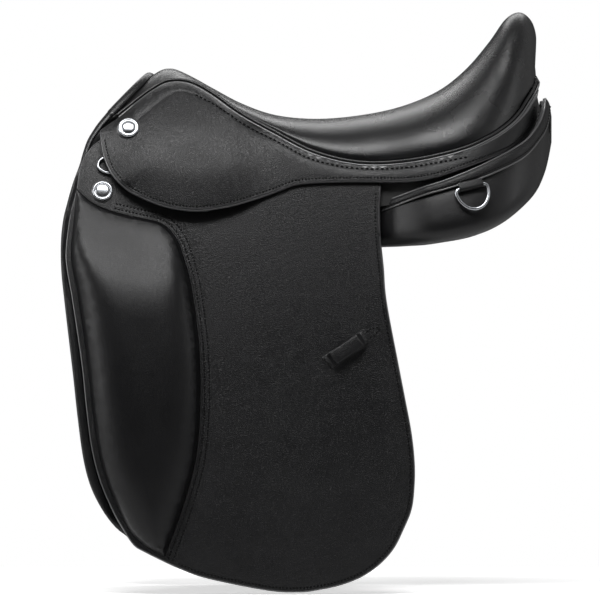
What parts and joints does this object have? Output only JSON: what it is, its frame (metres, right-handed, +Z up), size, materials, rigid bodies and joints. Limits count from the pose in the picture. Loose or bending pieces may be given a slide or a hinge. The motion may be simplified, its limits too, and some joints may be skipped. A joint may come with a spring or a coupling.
{
  "type": "dressage saddle",
  "caption": "Black leather dressage saddle with deep seat, long straight flaps, outer knee blocks, chrome studs and D-rings, wool-type panels, billets and stirrup bars.",
  "frame": {"origin": "on the centre plane under the middle of the seat, level with the top of the panels' outer edges", "axes": "+X to the rear (cantle), -Y to the rider's left (the side in the picture), +Z up"},
  "size_m": [0.5148, 0.372, 0.6105],
  "materials": {
    "grained_leather": "satin",
    "seat_leather": "satin",
    "block_leather": "satin",
    "panel_leather": "satin",
    "lining_leather": "matte",
    "foam": "matte",
    "webbing": "matte",
    "laminated_tree": "satin",
    "spring_steel": "satin",
    "chrome": "polished"
  },
  "bodies": {
    "seat_and_tree": {"seat_cover": "seat_leather", "seat_welt": "seat_leather", "pommel_roll": "seat_leather", "seat_foam": "foam", "seat_webbing": "webbing", "front_girth_web": "webbing", "rear_girth_web": "webbing", "tree_head": "laminated_tree", "tree_cantle": "laminated_tree", "gullet_plate": "spring_steel", "channel_lining": "lining_leather", "rear_facing": "grained_leather", "tree_rail_left": "laminated_tree", "tree_rail_right": "laminated_tree", "tree_spring_left": "spring_steel", "tree_spring_right": "spring_steel", "skirt_left": "grained_leather", "skirt_right": "grained_leather", "flap_head_left": "grained_leather", "flap_head_right": "grained_leather", "stirrup_bar_left": "spring_steel", "stirrup_bar_right": "spring_steel", "pommel_stud_left": "chrome", "pommel_stud_right": "chrome", "flap_stud_left": "chrome", "flap_stud_right": "chrome", "rear_d_tab_left": "grained_leather", "rear_d_tab_right": "grained_leather", "front_d_tab_left": "grained_leather", "front_d_tab_right": "grained_leather", "panel_left": "panel_leather", "panel_right": "panel_leather", "panel_strip_left": "grained_leather", "panel_strip_right": "grained_leather"},
    "sweat_flap_left": {"sweat_flap_left": "grained_leather"},
    "flap_left": {"flap_left": "grained_leather", "knee_block_left": "block_leather", "knee_block_core_left": "foam", "keeper_left": "grained_leather"},
    "front_billet_left": {"front_billet_left": "grained_leather"},
    "rear_billet_left": {"rear_billet_left": "grained_leather"},
    "skirt_belly_left": {"skirt_belly_left": "grained_leather"},
    "rear_d_ring_left": {"rear_d_ring_left": "chrome"},
    "front_d_ring_left": {"front_d_ring_left": "chrome"},
    "stirrup_catch_left": {"stirrup_catch_left": "spring_steel"},
    "sweat_flap_right": {"sweat_flap_right": "grained_leather"},
    "flap_right": {"flap_right": "grained_leather", "knee_block_right": "block_leather", "knee_block_core_right": "foam", "keeper_right": "grained_leather"},
    "front_billet_right": {"front_billet_right": "grained_leather"},
    "rear_billet_right": {"rear_billet_right": "grained_leather"},
    "skirt_belly_right": {"skirt_belly_right": "grained_leather"},
    "rear_d_ring_right": {"rear_d_ring_right": "chrome"},
    "front_d_ring_right": {"front_d_ring_right": "chrome"},
    "stirrup_catch_right": {"stirrup_catch_right": "spring_steel"}
  },
  "joints": [
    {"name": "sweat_flap_lift_left", "type": "hinge", "parent": "seat_and_tree", "child": "sweat_flap_left", "pos_m": [-0.0778, -0.11762, -0.04646], "axis": [-0.9938, 0.0753, 0.0823], "range_deg": [0, 5]},
    {"name": "flap_lift_left", "type": "hinge", "parent": "sweat_flap_left", "child": "flap_left", "pos_m": [-0.0778, -0.11762, -0.04646], "axis": [-0.9938, 0.0753, 0.0823], "range_deg": [0, 50]},
    {"name": "front_billet_swing_left", "type": "hinge", "parent": "sweat_flap_left", "child": "front_billet_left", "pos_m": [-0.0873, -0.0961, -0.00916], "axis": [0, 1, 0], "range_deg": [-2.5, 2.5]},
    {"name": "rear_billet_swing_left", "type": "hinge", "parent": "sweat_flap_left", "child": "rear_billet_left", "pos_m": [0.01863, -0.10946, -0.00337], "axis": [0, 1, 0], "range_deg": [-2.5, 2.5]},
    {"name": "skirt_lift_left", "type": "hinge", "parent": "seat_and_tree", "child": "skirt_belly_left", "pos_m": [-0.09912, -0.10026, 0.02434], "axis": [-0.9773, 0.1284, 0.1688], "range_deg": [0, 37]},
    {"name": "rear_ring_lift_left", "type": "hinge", "parent": "seat_and_tree", "child": "rear_d_ring_left", "pos_m": [0.17894, -0.14039, -0.00752], "axis": [-0.9408, -0.2617, -0.2155], "range_deg": [0, 110]},
    {"name": "front_ring_lift_left", "type": "hinge", "parent": "seat_and_tree", "child": "front_d_ring_left", "pos_m": [-0.191, -0.09272, 0.01728], "axis": [-0.0941, 0.3757, 0.9219], "range_deg": [0, 6]},
    {"name": "catch_fold_left", "type": "hinge", "parent": "seat_and_tree", "child": "stirrup_catch_left", "pos_m": [-0.08438, -0.10652, 0.00953], "axis": [-0.0584, -0.9329, 0.3553], "range_deg": [0, 80]},
    {"name": "sweat_flap_lift_right", "type": "hinge", "parent": "seat_and_tree", "child": "sweat_flap_right", "pos_m": [-0.0778, 0.11762, -0.04646], "axis": [0.9938, 0.0753, -0.0823], "range_deg": [0, 5]},
    {"name": "flap_lift_right", "type": "hinge", "parent": "sweat_flap_right", "child": "flap_right", "pos_m": [-0.0778, 0.11762, -0.04646], "axis": [0.9938, 0.0753, -0.0823], "range_deg": [0, 50]},
    {"name": "front_billet_swing_right", "type": "hinge", "parent": "sweat_flap_right", "child": "front_billet_right", "pos_m": [-0.0873, 0.0961, -0.00916], "axis": [0, 1, 0], "range_deg": [-2.5, 2.5]},
    {"name": "rear_billet_swing_right", "type": "hinge", "parent": "sweat_flap_right", "child": "rear_billet_right", "pos_m": [0.01863, 0.10946, -0.00337], "axis": [0, 1, 0], "range_deg": [-2.5, 2.5]},
    {"name": "skirt_lift_right", "type": "hinge", "parent": "seat_and_tree", "child": "skirt_belly_right", "pos_m": [-0.09912, 0.10026, 0.02434], "axis": [0.9773, 0.1284, -0.1688], "range_deg": [0, 37]},
    {"name": "rear_ring_lift_right", "type": "hinge", "parent": "seat_and_tree", "child": "rear_d_ring_right", "pos_m": [0.17894, 0.14039, -0.00752], "axis": [0.9408, -0.2617, 0.2155], "range_deg": [0, 110]},
    {"name": "front_ring_lift_right", "type": "hinge", "parent": "seat_and_tree", "child": "front_d_ring_right", "pos_m": [-0.191, 0.09272, 0.01728], "axis": [0.0941, 0.3757, -0.9219], "range_deg": [0, 6]},
    {"name": "catch_fold_right", "type": "hinge", "parent": "seat_and_tree", "child": "stirrup_catch_right", "pos_m": [-0.08438, 0.10652, 0.00953], "axis": [0.0584, -0.9329, -0.3553], "range_deg": [0, 80]}
  ]
}
